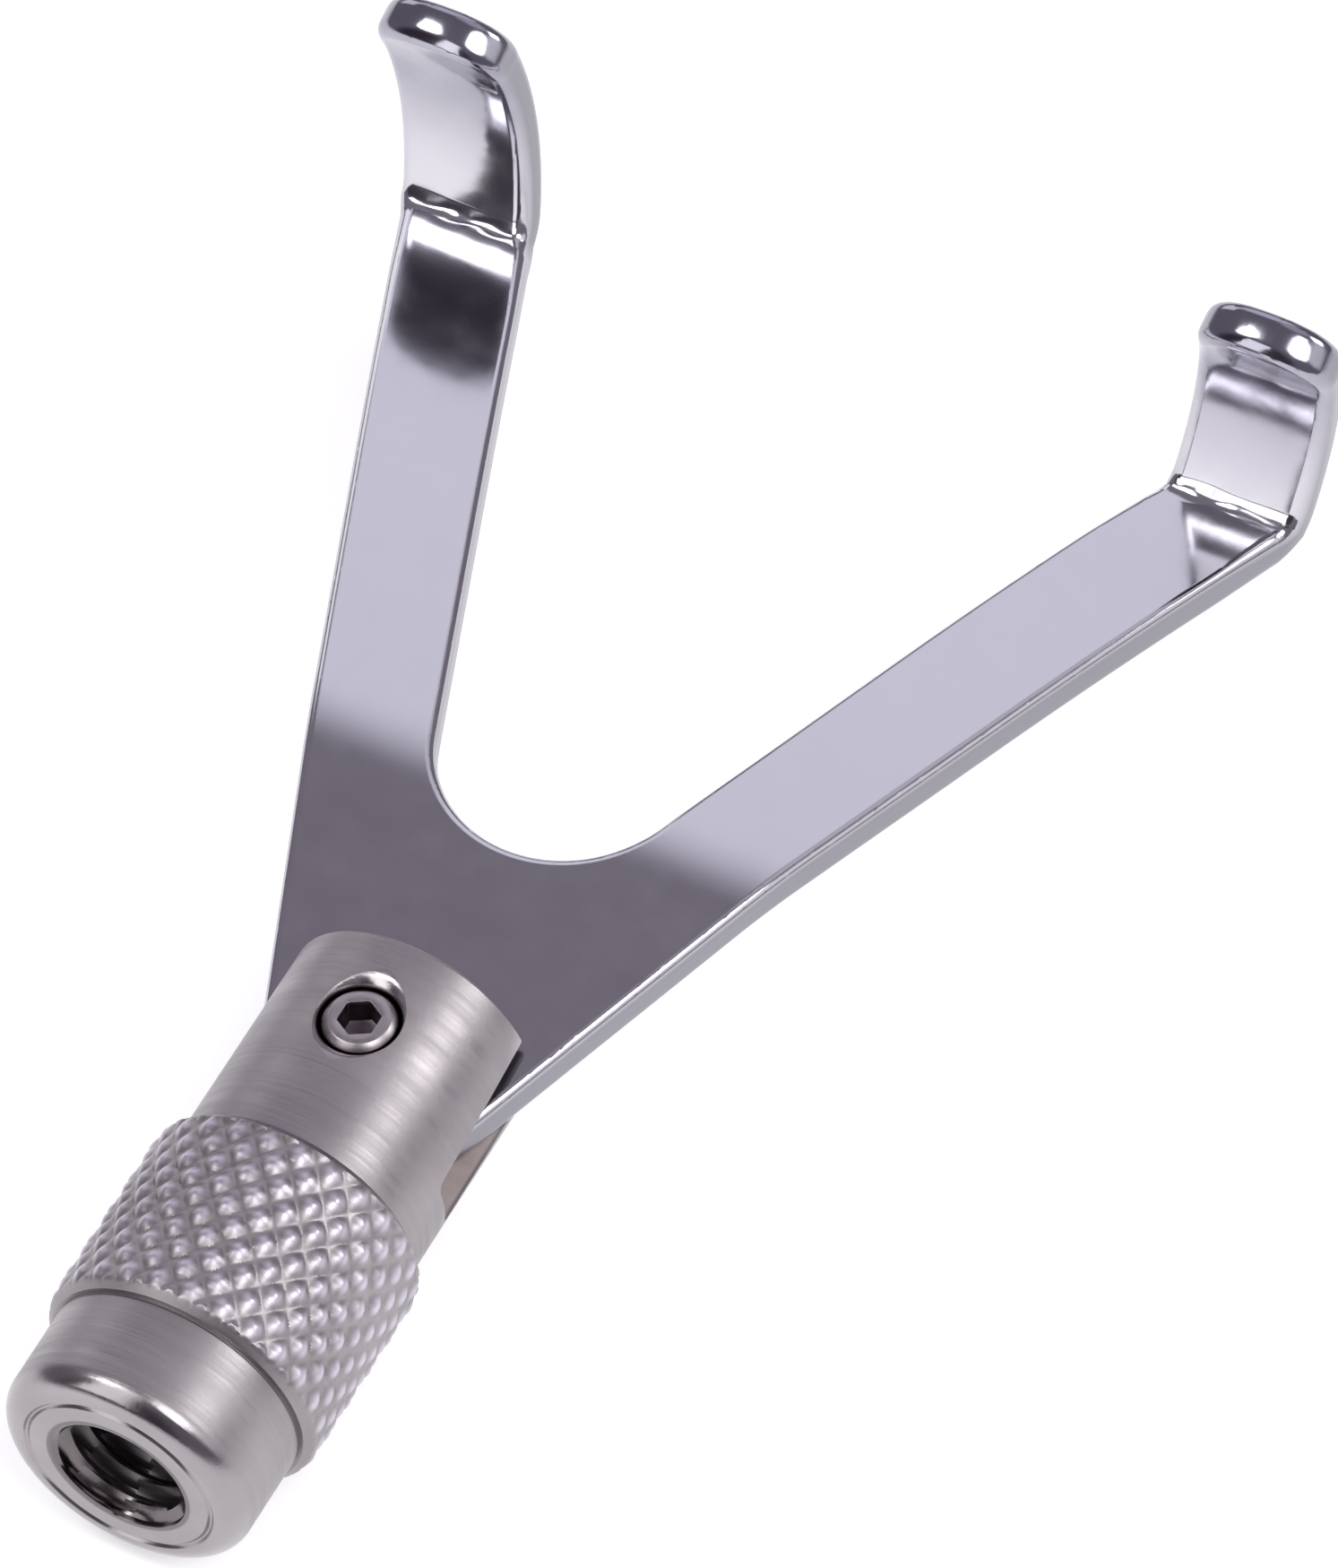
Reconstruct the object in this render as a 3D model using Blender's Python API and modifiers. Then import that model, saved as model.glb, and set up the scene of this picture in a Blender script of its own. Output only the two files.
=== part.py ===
"""Case back opener head: a knurled holder, a forked key with two hooked claws, and the set screw
that clamps the key in the holder's slot.

Metres, +Z up. The holder's axis lies along +Y, the claws stand up at the +Y end, and the two arms
mirror each other in the plane x = 0. The origin is at the middle of the object's footprint, level
with the lowest line of the knurl.
"""
import math

import bmesh
import bpy
import numpy as np
from mathutils import Matrix, Vector

MM = 0.001
GAP = 0.3 * MM                                  # left between neighbours that touch

# Holder: lengths are counted from its rear face
COLLAR_R = 5.25 * MM
COLLAR_END = 4.6 * MM
REAR_EDGE_R = 1.05 * MM
KNURL_R = 5.85 * MM
KNURL_END = 13.5 * MM
KNURL_CHAMFER = 0.45 * MM
NOSE_R = 5.15 * MM
NOSE_CHAMFER = 0.2 * MM
HOLDER_LENGTH = 23.45 * MM

# Shallow V groove round the rear face, and the blind hole tapped M6 in its middle
REAR_GROOVE_R = 3.95 * MM
REAR_GROOVE = 0.14 * MM
REAR_HOLE_R = 2.5 * MM
REAR_MOUTH_R = 2.85 * MM
REAR_HOLE_DEPTH = 11.5 * MM
DRILL_POINT = math.radians(118)

# Key: one plate that climbs out of the holder, levels off past it, and is hooked upward at the end
PLATE = 1.7 * MM
PLATE_TOP_AT_FRONT = 1.22 * MM                  # above the holder's axis, at the holder's front face
EDGE_ROUND = 0.22 * MM
TANG_LENGTH = 6.9 * MM
RISE = math.radians(5)
FALL = math.radians(2.65)
FALL_AT = 10.46 * MM                            # from the holder's front face, along the plate
FALL_BEND_R = 25 * MM
DROOP = math.radians(5)                         # of each arm, spread along its outer part
DROOP_FROM = 22 * MM
CREASE_AT = 35.05 * MM
CREASE_BEND_R = 0.9 * MM + PLATE / 2
CREASE_TURN = math.radians(73.5)
CLAW_R = 11.8 * MM + PLATE / 2
CLAW_TURN = math.radians(47)

# Outline of the flat plate before it is bent
HALF_WIDTH_AT_FRONT = 6.22 * MM
SPLAY = math.radians(21.05)                     # of each arm's outer edge from the holder's axis
INNER_SPLAY = math.radians(20.4)
ARM_WIDTH = 5.2 * MM                            # at the crotch
CROTCH_CENTRE = 13.07 * MM
CLAW_SPLAY = math.radians(5)
CLAW_CORNER_R = 2.1 * MM
TANG_CORNER_R = 0.9 * MM

# Slot through the holder's nose, milled at the key's rise, and the M3 cross hole for the set screw
SLOT_START = 16.2 * MM
SLOT_BELOW = PLATE + GAP                        # of the plate's upper face
SLOT_ABOVE = 0.52 * MM
SLOT_CORNER_R = 0.4 * MM
SCREW_AT = 19.66 * MM
SCREW_HOLE_R = 1.55 * MM
SCREW_MOUTH_R = 1.78 * MM
SCREW_R = SCREW_HOLE_R - GAP
SCREW_LENGTH = 3.6 * MM
SCREW_CHAMFER = 0.25 * MM
SOCKET_ACROSS_FLATS = 1.5 * MM
SOCKET_DEPTH = 1.2 * MM

ROUND_STEPS = 96
SCREW_STEPS = 48
ARC_STEP = math.radians(6)
REACH = 20 * MM                                 # cutters run this far past what they cut


# ---- helpers ----------------------------------------------------------------------------------

def arc(centre, radius, start, end, step=ARC_STEP):
    """Points on an arc from the angle start to the angle end, both included."""
    count = max(2, math.ceil(abs(end - start) / step))
    angles = [start + (end - start) * i / count for i in range(count + 1)]
    return [(centre[0] + radius * math.cos(a), centre[1] + radius * math.sin(a)) for a in angles]


def rounded_corner(before, corner, after, radius):
    """The corner between two straight lines, replaced by an arc that touches both."""
    back = (Vector(before) - Vector(corner)).normalized()
    onward = (Vector(after) - Vector(corner)).normalized()
    half = back.angle(onward) / 2
    centre = Vector(corner) + (back + onward).normalized() * radius / math.sin(half)
    touch = [Vector(corner) + way * radius / math.tan(half) - centre for way in (back, onward)]
    start = math.atan2(touch[0].y, touch[0].x)
    turn = math.remainder(math.atan2(touch[1].y, touch[1].x) - start, math.tau)
    return arc(centre, radius, start, start + turn, math.radians(15))


def collection(name):
    made = bpy.data.collections.new(name)
    bpy.context.scene.collection.children.link(made)
    return made


def add_object(name, mesh, group):
    made = bpy.data.objects.new(name, mesh)
    group.objects.link(made)
    return made


def material(name, colour, roughness, metallic):
    made = bpy.data.materials.new(name)
    made.use_nodes = True
    shader = made.node_tree.nodes["Principled BSDF"]
    shader.inputs["Base Color"].default_value = (*colour, 1)
    shader.inputs["Roughness"].default_value = roughness
    shader.inputs["Metallic"].default_value = metallic
    return made


def turned(name, profile, steps, group):
    """A round body about its own Z axis. The profile is (radius, height), down its outer side."""
    mesh = bpy.data.meshes.new(name)
    edges = [(i, i + 1) for i in range(len(profile) - 1)]
    mesh.from_pydata([(r, 0, z) for r, z in profile], edges, [])
    made = add_object(name, mesh, group)
    screw = made.modifiers.new("turn", "SCREW")
    screw.axis = "Z"
    screw.steps = steps
    screw.render_steps = steps
    screw.use_merge_vertices = True
    screw.merge_threshold = 0.00001
    return made


def cut(target, cutter):
    cutter.hide_render = True
    cutter.display_type = "WIRE"
    boolean = target.modifiers.new(cutter.name, "BOOLEAN")
    boolean.operation = "DIFFERENCE"
    boolean.solver = "EXACT"
    boolean.object = cutter


def smooth_round(made, sharp=math.radians(30)):
    made.data.shade_smooth()
    made.data.set_sharp_from_angle(angle=sharp)


# ---- the plate's side view --------------------------------------------------------------------

def plate_path():
    """Stations down the plate's middle: length from the holder's front, y from there, height."""
    length = -TANG_LENGTH
    slope = RISE
    along = Vector((math.cos(RISE), math.sin(RISE)))
    across = Vector((-along.y, along.x))
    spot = Vector((0, PLATE_TOP_AT_FRONT)) - across * PLATE / 2 - along * TANG_LENGTH
    stations = [(length, spot.x, spot.y)]

    def straight(until):
        nonlocal length, spot
        spot = spot + (until - length) * Vector((math.cos(slope), math.sin(slope)))
        length = until
        stations.append((length, spot.x, spot.y))

    def bend(radius, turn, step):
        nonlocal length, spot, slope
        count = math.ceil(abs(turn) / step)
        side = math.copysign(radius, turn)
        centre = spot + side * Vector((-math.sin(slope), math.cos(slope)))
        for _ in range(count):
            slope += turn / count
            length += abs(radius * turn / count)
            spot = centre - side * Vector((-math.sin(slope), math.cos(slope)))
            stations.append((length, spot.x, spot.y))

    straight(FALL_AT - FALL_BEND_R * (RISE + FALL) / 2)
    bend(FALL_BEND_R, -RISE - FALL, ARC_STEP / 3)
    straight(DROOP_FROM)
    bend((CREASE_AT - DROOP_FROM) / DROOP, -DROOP, ARC_STEP / 8)
    bend(CREASE_BEND_R, CREASE_TURN, ARC_STEP * 1.5)
    bend(CLAW_R, CLAW_TURN, ARC_STEP)
    return np.array(stations)


PATH = plate_path()
PLATE_END = PATH[-1, 0]
FRONT_OF_CLAWS = PATH[:, 1].max() + PLATE / 2   # the plate stands upright where it is furthest out
TOTAL_LENGTH = HOLDER_LENGTH + FRONT_OF_CLAWS
REAR_Y = -TOTAL_LENGTH / 2
FRONT_Y = REAR_Y + HOLDER_LENGTH
AXIS_Z = KNURL_R
PLATE_TOP_AT_SCREW = PLATE_TOP_AT_FRONT - (HOLDER_LENGTH - SCREW_AT - SCREW_R) * math.tan(RISE)


# ---- key --------------------------------------------------------------------------------------

def half_outline():
    """Right half of the flat plate, as (width, length from the holder's front)."""
    claw_splay = math.tan(CLAW_SPLAY)
    corner_at = CREASE_AT + CREASE_BEND_R * CREASE_TURN / 2
    claw_length = PLATE_END - corner_at

    def outer(length):
        return HALF_WIDTH_AT_FRONT + length * math.tan(SPLAY)

    def inner(length):
        at_crotch = outer(CROTCH_CENTRE) - ARM_WIDTH / math.cos(SPLAY)
        return at_crotch + (length - CROTCH_CENTRE) * math.tan(INNER_SPLAY)

    crotch_r = inner(CROTCH_CENTRE) * math.cos(INNER_SPLAY)
    crotch = arc((0, CROTCH_CENTRE), crotch_r, -INNER_SPLAY, -math.pi / 2)
    crotch[-1] = (0, CROTCH_CENTRE - crotch_r)

    tang_corner = (outer(-TANG_LENGTH), -TANG_LENGTH)
    outer_crease = (outer(corner_at), corner_at)
    inner_crease = (inner(corner_at), corner_at)
    outer_tip = (outer_crease[0] + claw_length * claw_splay, PLATE_END)
    inner_tip = (inner_crease[0] + claw_length * claw_splay, PLATE_END)

    return [
        (0, -TANG_LENGTH),
        *rounded_corner((0, -TANG_LENGTH), tang_corner, outer_crease, TANG_CORNER_R),
        outer_crease,
        *rounded_corner(outer_crease, outer_tip, inner_tip, CLAW_CORNER_R),
        *rounded_corner(outer_tip, inner_tip, inner_crease, CLAW_CORNER_R),
        inner_crease,
        *crotch,
    ]


def make_key(group, finish):
    """The flat outline is scored across at every station and then folded along the path."""
    sheet = bmesh.new()
    sheet.faces.new([sheet.verts.new((u, s, 0)) for u, s in half_outline()])
    for station in PATH[1:-1, 0]:
        bmesh.ops.bisect_plane(
            sheet,
            geom=sheet.verts[:] + sheet.edges[:] + sheet.faces[:],
            plane_co=(0, station, 0),
            plane_no=(0, 1, 0),
        )
    for vert in sheet.verts:
        length = vert.co.y
        vert.co.y = np.interp(length, PATH[:, 0], PATH[:, 1])
        vert.co.z = np.interp(length, PATH[:, 0], PATH[:, 2])
    sheet.normal_update()
    mesh = bpy.data.meshes.new("forked_key")
    sheet.to_mesh(mesh)
    sheet.free()
    mesh.materials.append(finish)
    key = add_object("forked_key", mesh, group)
    key.location = (0, FRONT_Y, AXIS_Z)
    mirror = key.modifiers.new("other arm", "MIRROR")
    mirror.use_axis = (True, False, False)
    mirror.merge_threshold = 0.00001
    solid = key.modifiers.new("plate", "SOLIDIFY")
    solid.thickness = PLATE
    solid.offset = 0
    solid.use_even_offset = True
    edge = key.modifiers.new("broken edges", "BEVEL")
    edge.width = EDGE_ROUND
    edge.segments = 2
    edge.limit_method = "ANGLE"
    edge.angle_limit = math.radians(60)
    return key


# ---- holder -----------------------------------------------------------------------------------

def holder_profile():
    """(radius, distance from the rear face), from the middle of the front face round to the bore."""
    rear_edge = arc((COLLAR_R - REAR_EDGE_R, REAR_EDGE_R), REAR_EDGE_R, 0, -math.pi / 2, ARC_STEP * 3)
    mouth_depth = REAR_MOUTH_R - REAR_HOLE_R
    drill_tip = REAR_HOLE_DEPTH + REAR_HOLE_R / math.tan(DRILL_POINT / 2)
    return [
        (0, HOLDER_LENGTH),
        (NOSE_R - NOSE_CHAMFER, HOLDER_LENGTH),
        (NOSE_R, HOLDER_LENGTH - NOSE_CHAMFER),
        (NOSE_R, KNURL_END),
        (KNURL_R - KNURL_CHAMFER, KNURL_END),
        (KNURL_R, KNURL_END - KNURL_CHAMFER),
        (KNURL_R, COLLAR_END + KNURL_CHAMFER),
        (KNURL_R - KNURL_CHAMFER, COLLAR_END),
        (COLLAR_R, COLLAR_END),
        *rear_edge,
        (REAR_GROOVE_R + REAR_GROOVE, 0),
        (REAR_GROOVE_R, REAR_GROOVE),
        (REAR_GROOVE_R - REAR_GROOVE, 0),
        (REAR_MOUTH_R, 0),
        (REAR_HOLE_R, mouth_depth),
        (REAR_HOLE_R, REAR_HOLE_DEPTH),
        (0, drill_tip),
    ]


def slot_cutter(group):
    """A bar across the nose, open at the front, its inner corners rounded. It lies along the tang."""
    mesh = bpy.data.meshes.new("slot_cutter")
    bar = bmesh.new()
    bmesh.ops.create_cube(bar, size=1)
    depth = HOLDER_LENGTH - SLOT_START
    length = depth + REACH
    height = SLOT_BELOW + SLOT_ABOVE
    bmesh.ops.scale(bar, vec=(2 * REACH, length, height), verts=bar.verts)
    spot = (0, length / 2 - depth, (SLOT_ABOVE - SLOT_BELOW) / 2)
    bmesh.ops.translate(bar, vec=spot, verts=bar.verts)
    bar.to_mesh(mesh)
    bar.free()
    cutter = add_object("slot_cutter", mesh, group)
    cutter.location = (0, FRONT_Y, AXIS_Z + PLATE_TOP_AT_FRONT)
    cutter.rotation_euler = (RISE, 0, 0)
    corners = cutter.modifiers.new("inner corners", "BEVEL")
    corners.width = SLOT_CORNER_R
    corners.segments = 3
    return cutter


def screw_hole_cutter(group):
    mouth = SCREW_MOUTH_R - SCREW_HOLE_R
    top = NOSE_R + mouth
    inside_slot = PLATE_TOP_AT_SCREW
    profile = [
        (0, top),
        (SCREW_MOUTH_R + mouth, top),
        (SCREW_HOLE_R, NOSE_R - mouth),
        (SCREW_HOLE_R, inside_slot),
        (0, inside_slot),
    ]
    cutter = turned("screw_hole_cutter", profile, SCREW_STEPS, group)
    cutter.location = (0, REAR_Y + SCREW_AT, AXIS_Z)
    return cutter


def make_holder(group, cutters, finish):
    holder = turned("knurled_holder", holder_profile(), ROUND_STEPS, group)
    holder.location = (0, REAR_Y, AXIS_Z)
    holder.rotation_euler = (-math.pi / 2, 0, 0)
    holder.data.materials.append(finish)
    cut(holder, slot_cutter(cutters))
    cut(holder, screw_hole_cutter(cutters))
    return holder


# ---- set screw --------------------------------------------------------------------------------

def socket_cutter(group):
    mesh = bpy.data.meshes.new("socket_cutter")
    hexagon = bmesh.new()
    corner_r = SOCKET_ACROSS_FLATS / math.sqrt(3)
    depth = SOCKET_DEPTH + REACH
    bmesh.ops.create_cone(
        hexagon,
        cap_ends=True,
        segments=6,
        radius1=corner_r,
        radius2=corner_r,
        depth=depth,
        matrix=Matrix.Translation((0, 0, depth / 2)),
    )
    hexagon.to_mesh(mesh)
    hexagon.free()
    return add_object("socket_cutter", mesh, group)


def make_set_screw(group, cutters, finish):
    """It stands on the key; its origin is at its foot, on its own axis."""
    profile = [
        (0, SCREW_LENGTH),
        (SCREW_R - SCREW_CHAMFER, SCREW_LENGTH),
        (SCREW_R, SCREW_LENGTH - SCREW_CHAMFER),
        (SCREW_R, SCREW_CHAMFER),
        (SCREW_R - SCREW_CHAMFER, 0),
        (0, 0),
    ]
    screw = turned("set_screw", profile, SCREW_STEPS, group)
    foot = AXIS_Z + PLATE_TOP_AT_SCREW + GAP
    screw.location = (0, REAR_Y + SCREW_AT, foot)
    screw.data.materials.append(finish)
    socket = socket_cutter(cutters)
    socket.location = (0, REAR_Y + SCREW_AT, foot + SCREW_LENGTH - SOCKET_DEPTH)
    cut(screw, socket)
    return screw


def main():
    for leftover in list(bpy.data.objects):
        bpy.data.objects.remove(leftover)
    parts = collection("case_back_opener")
    cutters = collection("cutters")
    turned_steel = material("turned_steel", (0.50, 0.48, 0.50), 0.35, 1.0)
    chrome = material("chrome_plate", (0.74, 0.73, 0.78), 0.10, 1.0)
    dark_steel = material("dark_steel", (0.16, 0.15, 0.16), 0.40, 1.0)
    pieces = [
        make_holder(parts, cutters, turned_steel),
        make_key(parts, chrome),
        make_set_screw(parts, cutters, dark_steel),
    ]
    for piece in pieces:
        smooth_round(piece)


main()
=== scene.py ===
import math

import bmesh
import bpy
import numpy as np
from mathutils import Matrix, Vector, noise


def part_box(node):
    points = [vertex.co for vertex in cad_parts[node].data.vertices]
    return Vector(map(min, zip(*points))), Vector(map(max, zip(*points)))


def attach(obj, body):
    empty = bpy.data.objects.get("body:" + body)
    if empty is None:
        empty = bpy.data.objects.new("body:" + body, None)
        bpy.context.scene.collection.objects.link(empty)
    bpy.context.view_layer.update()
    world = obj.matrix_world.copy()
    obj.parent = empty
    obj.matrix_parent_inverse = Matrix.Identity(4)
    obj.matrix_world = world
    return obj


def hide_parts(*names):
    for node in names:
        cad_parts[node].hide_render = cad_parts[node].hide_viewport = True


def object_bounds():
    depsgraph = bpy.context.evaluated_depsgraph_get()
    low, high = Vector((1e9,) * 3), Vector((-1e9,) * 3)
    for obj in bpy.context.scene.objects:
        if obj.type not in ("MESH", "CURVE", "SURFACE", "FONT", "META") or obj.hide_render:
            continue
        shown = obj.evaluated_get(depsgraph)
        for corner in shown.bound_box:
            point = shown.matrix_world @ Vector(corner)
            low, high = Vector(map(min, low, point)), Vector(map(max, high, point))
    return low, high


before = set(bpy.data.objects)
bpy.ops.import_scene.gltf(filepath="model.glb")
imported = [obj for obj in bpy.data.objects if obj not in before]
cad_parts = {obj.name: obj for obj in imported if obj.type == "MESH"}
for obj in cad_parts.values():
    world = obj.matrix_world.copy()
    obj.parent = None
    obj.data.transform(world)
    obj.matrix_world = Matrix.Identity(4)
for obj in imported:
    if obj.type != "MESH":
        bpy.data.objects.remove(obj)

CAD_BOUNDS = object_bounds()
MM = 0.001

# ---- places, from the CAD ---------------------------------------------------------------------

holder_low, holder_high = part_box("knurled_holder")
screw_low, screw_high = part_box("set_screw")
REAR_Y = holder_low.y
FRONT_Y = holder_high.y
AXIS_Z = (holder_low.z + holder_high.z) / 2
KNURL_R = (holder_high.z - holder_low.z) / 2
SCREW_Y = (screw_low.y + screw_high.y) / 2
SCREW_FOOT = screw_low.z
SCREW_TOP = screw_high.z
HOLDER_LENGTH = FRONT_Y - REAR_Y

# ---- dimensions of the holder, lengths from its rear face --------------------------------------

COLLAR_R = 5.25 * MM
COLLAR_END = 4.6 * MM
REAR_EDGE_R = 1.05 * MM
RELIEF = 0.12 * MM                              # width of the turned groove between collar and knurl
RELIEF_DEPTH = RELIEF / 3
RELIEF_END = COLLAR_END - 1.6 * RELIEF          # where its sloped side meets the collar
KNURL_END = 13.5 * MM
KNURL_CHAMFER = 0.45 * MM
KNURL_DEPTH = 0.21 * MM
KNURL_FULLNESS = 1.5                            # 1 would leave pyramids, more gives fuller pillows
KNURL_UNEVENNESS = 0.15                         # how much shallower some diamonds were pressed
DIAMONDS_ROUND = 26
DIAMOND_LENGTH = 1.61 * MM
DIAMOND_SAMPLES = 16
NOSE_R = 5.15 * MM
NOSE_EDGE_R = 0.22 * MM
NOSE_OVERLAP = 0.6 * MM                         # of the nose's mesh, into the knurl's
COLUMNS = DIAMONDS_ROUND * DIAMOND_SAMPLES
NOSE_COLUMNS = 192

REAR_GROOVE_R = 3.95 * MM
REAR_GROOVE = 0.14 * MM                         # its depth, and half its width
REAR_MOUTH_R = 2.85 * MM
REAR_MOUTH_EDGE = 0.04 * MM
THREAD_MINOR_R = 2.5 * MM
THREAD_MAJOR_R = 3.03 * MM
THREAD_PITCH = 1.0 * MM
THREAD_CREST = 0.12                             # part of the pitch that the flat crest takes
THREAD_FLANKS = 0.66                            # part of the pitch that the two flanks take
THREAD_SAMPLES = 8                              # rows of the mesh to each turn of the thread
THREAD_DEPTH = 11.5 * MM
DRILL_POINT = math.radians(118)

SLOT_START = 16.2 * MM
SLOT_BELOW = 2.0 * MM                           # how far the slot reaches under the plate's upper face
SLOT_ABOVE = 0.52 * MM                          # and how far over it
SLOT_CORNER_R = 0.35 * MM
CROSS_HOLE_R = 1.55 * MM
CROSS_HOLE_ROUND = 0.8 * MM
SCREW_COLUMNS = 96                              # round the cross hole and the screw

# ---- dimensions of the key, lengths along the plate from the holder's front ---------------------

PLATE = 1.7 * MM
PLATE_TOP_AT_FRONT = 1.22 * MM                  # above the holder's axis
TANG_LENGTH = 6.9 * MM
RISE = math.radians(5)
FALL = math.radians(2.65)
FALL_AT = 10.46 * MM
FALL_BEND_R = 25 * MM
DROOP = math.radians(5)                         # of each arm, spread along its outer part
DROOP_FROM = 22 * MM
CREASE_AT = 35.05 * MM
CREASE_BEND_R = 0.9 * MM + PLATE / 2            # bends are measured at the plate's middle
CREASE_TURN = math.radians(73.5)
CLAW_R = 11.8 * MM + PLATE / 2
CLAW_TURN = math.radians(47)
HALF_WIDTH_AT_FRONT = 6.22 * MM
SPLAY = math.radians(21.05)
INNER_SPLAY = math.radians(20.4)
ARM_WIDTH = 5.2 * MM                            # at the crotch
CROTCH_CENTRE = 13.07 * MM
CLAW_SPLAY = math.radians(5)
TANG_CORNER_R = 0.9 * MM
ARM_EDGE_ROUND = 0.38 * MM
CLAW_EDGE_ROUND = 0.62 * MM
TIP_EDGE_ROUND = 0.55 * MM
TIP_LENGTH = 2.2 * MM                           # of the rounded part of the claw's end
TIP_SQUARENESS = 2.2                            # 2 would make the end an ellipse
TIP_DOME_R = 4.5 * MM                           # of the claw's end, across the plate's thickness
LIP = 0.22 * MM                                 # the claw's end is this much thicker, on the inside
LIP_FROM_END = 3.5 * MM
LIP_EASE = 3 * MM                               # how far the plate takes to thicken
CREASE_WAVES = 0.085 * MM                       # unevenness the bending left in the crease
CREASE_SPREAD = 0.9 * MM                        # size of the waves, and how far they reach
CREASE_STRETCH = 0.6                            # below 1 draws the waves out along the plate

# ---- dimensions of the screw -------------------------------------------------------------------

SCREW_R = 1.47 * MM
SCREW_FOOT_CHAMFER = 0.3 * MM
SCREW_FACE_R = 1.22 * MM
SOCKET_ACROSS_FLATS = 1.5 * MM
SOCKET_DEPTH = 1.2 * MM

REACH = 20 * MM                                 # how far the cutters run out past what they cut


# ---- mesh helpers -----------------------------------------------------------------------------

def new_object(name, mesh):
    made = bpy.data.objects.new(name, mesh)
    bpy.context.scene.collection.objects.link(made)
    return made


def mesh_from(bm, name):
    bmesh.ops.recalc_face_normals(bm, faces=bm.faces)
    mesh = bpy.data.meshes.new(name)
    bm.to_mesh(mesh)
    bm.free()
    return mesh


def skin(bm, rings, columns):
    """Joins each ring of vertices to the next. A ring of one vertex is a pole."""
    for one, two in zip(rings, rings[1:]):
        for i in range(columns):
            j = (i + 1) % columns
            corners = [one[i % len(one)], one[j % len(one)], two[j % len(two)], two[i % len(two)]]
            bm.faces.new(list(dict.fromkeys(corners)))


def revolved(name, rows, columns):
    """A closed skin round the holder's axis. Each row is (distance from the rear, radius or radii)."""
    angles = np.arange(columns) * math.tau / columns
    bm = bmesh.new()
    rings = []
    for along, radius in rows:
        radii = np.broadcast_to(radius, (columns,))
        if np.all(radii == 0):
            rings.append([bm.verts.new((0, REAR_Y + along, AXIS_Z))])
            continue
        rings.append([
            bm.verts.new((r * math.cos(a), REAR_Y + along, AXIS_Z + r * math.sin(a)))
            for r, a in zip(radii, angles)
        ])
    skin(bm, rings, columns)
    return new_object(name, mesh_from(bm, name))


def lathe(name, profile, place, columns):
    """A closed round body about a vertical line through place. The profile is (radius, height)."""
    angles = [i * math.tau / columns for i in range(columns)]
    bm = bmesh.new()
    rings = []
    for radius, height in profile:
        if radius == 0:
            rings.append([bm.verts.new((0, 0, height))])
            continue
        rings.append([bm.verts.new((radius * math.cos(a), radius * math.sin(a), height)) for a in angles])
    skin(bm, rings, columns)
    bmesh.ops.translate(bm, vec=place, verts=bm.verts)
    return new_object(name, mesh_from(bm, name))


def applied(obj):
    """The object's mesh with its modifiers worked in."""
    deps = bpy.context.evaluated_depsgraph_get()
    mesh = bpy.data.meshes.new_from_object(obj.evaluated_get(deps))
    obj.modifiers.clear()
    obj.data = mesh
    return obj


def cut(target, cutter):
    boolean = target.modifiers.new(cutter.name, "BOOLEAN")
    boolean.operation = "DIFFERENCE"
    boolean.solver = "EXACT"
    boolean.object = cutter
    applied(target)
    bpy.data.objects.remove(cutter)


def break_edges(obj, width):
    """A narrow bevel on every sharp edge."""
    bevel = obj.modifiers.new("broken edges", "BEVEL")
    bevel.width = width
    bevel.segments = 2
    bevel.limit_method = "ANGLE"
    bevel.angle_limit = math.radians(50)
    applied(obj)


def smooth(obj, sharp=math.radians(32)):
    """Smooth shading, apart from edges that turn by more than the sharp angle."""
    obj.data.shade_smooth()
    obj.data.set_sharp_from_angle(angle=sharp)


def eased(value):
    """0 below 0, 1 above 1, and a soft S between."""
    value = np.clip(value, 0, 1)
    return value * value * (3 - 2 * value)


def arc(centre, radius, start, end, step):
    """Points round a centre, from one angle to another, at most step apart."""
    count = max(2, math.ceil(abs(end - start) / step))
    angles = [start + (end - start) * i / count for i in range(count + 1)]
    return [(centre[0] + radius * math.cos(a), centre[1] + radius * math.sin(a)) for a in angles]


def rounded_corner(before, corner, after, radius):
    """The arc that rounds an outline's corner, from the side before it to the side after it."""
    back = (Vector(before) - Vector(corner)).normalized()
    onward = (Vector(after) - Vector(corner)).normalized()
    half = back.angle(onward) / 2
    centre = Vector(corner) + (back + onward).normalized() * radius / math.sin(half)
    touch = [Vector(corner) + way * radius / math.tan(half) - centre for way in (back, onward)]
    start = math.atan2(touch[0].y, touch[0].x)
    turn = math.remainder(math.atan2(touch[1].y, touch[1].x) - start, math.tau)
    return arc(centre, radius, start, start + turn, math.radians(6))


# ---- holder -----------------------------------------------------------------------------------

def zigzag(phase):
    """1 at whole numbers, 0 halfway between them."""
    return np.abs(2 * (phase - np.floor(phase)) - 1)


def knurl_row(along):
    """Radii of the knurl at a distance from the rear: pillows left between two crossed grooves."""
    turns = np.arange(COLUMNS) / DIAMOND_SAMPLES
    shift = (along - COLLAR_END) / DIAMOND_LENGTH
    one, two = turns + shift, turns - shift
    pillow = (1 - zigzag(one) ** KNURL_FULLNESS) * (1 - zigzag(two) ** KNURL_FULLNESS)
    # The two factors only have to give each diamond a number of its own.
    pressed = np.sin(np.floor(one) * 12.9 + np.floor(two) * 78.2) ** 2
    depth = KNURL_DEPTH * (1 - pillow) * (1 - KNURL_UNEVENNESS * (1 - pressed))
    from_end = min(along - COLLAR_END, KNURL_END - along)
    return np.minimum(KNURL_R - depth, KNURL_R - KNURL_CHAMFER + from_end)


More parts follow.
